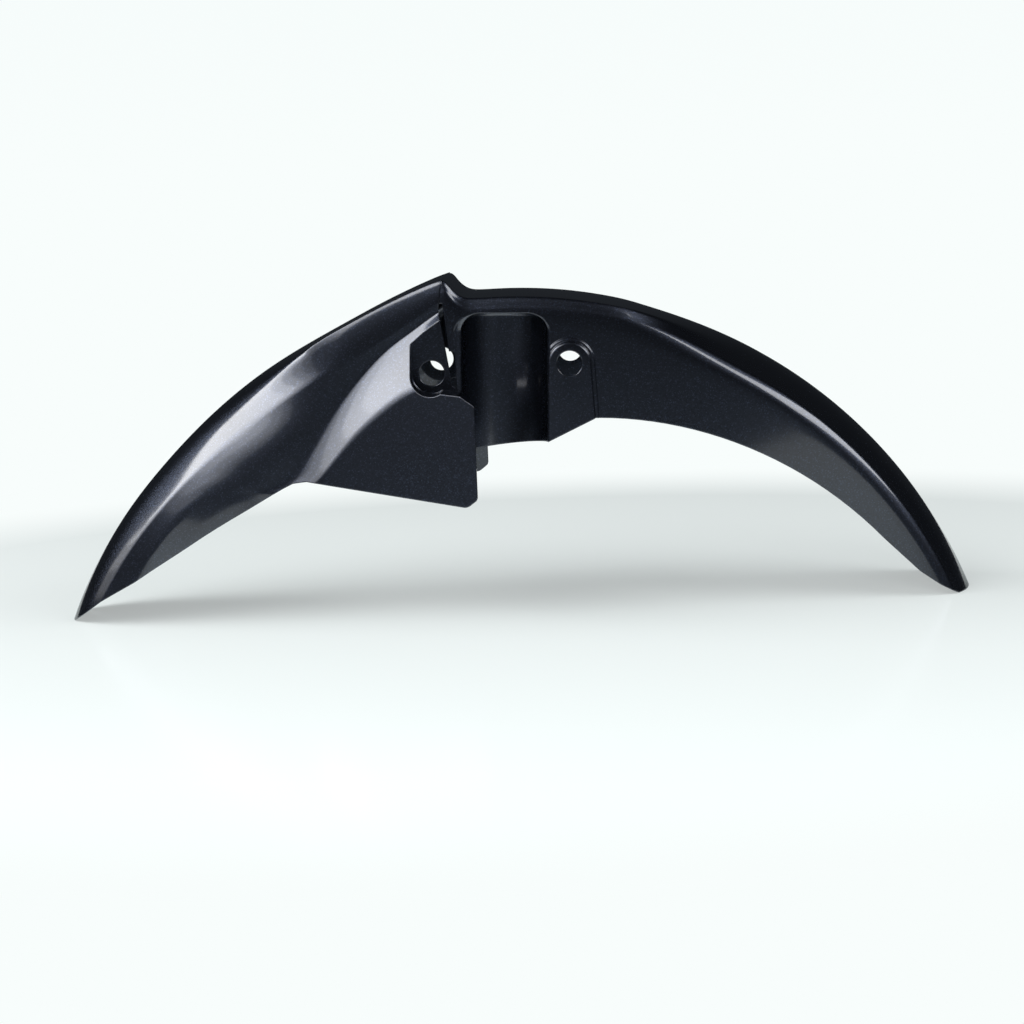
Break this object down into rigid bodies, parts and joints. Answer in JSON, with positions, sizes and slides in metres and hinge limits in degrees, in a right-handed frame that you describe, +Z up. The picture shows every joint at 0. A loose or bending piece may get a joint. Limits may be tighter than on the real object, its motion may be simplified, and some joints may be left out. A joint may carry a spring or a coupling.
{
  "type": "motorcycle front mudguard",
  "caption": "Curved shell over a motorcycle's front wheel, with a crested hood, flared side wings, hollows for the fork legs and bolting pads.",
  "frame": {"origin": "bottom centre of the bounding box, on the floor the two tongues stand on", "axes": "+X to the rear of the motorcycle, +Y to its right side, +Z up; the shell is symmetric about the XZ plane"},
  "size_m": [0.6497, 0.234, 0.237],
  "materials": {
    "paint": "very dark blue metallic paint under clear gloss lacquer"
  },
  "bodies": {
    "root": {"mudguard": "paint"}
  },
  "joints": []
}
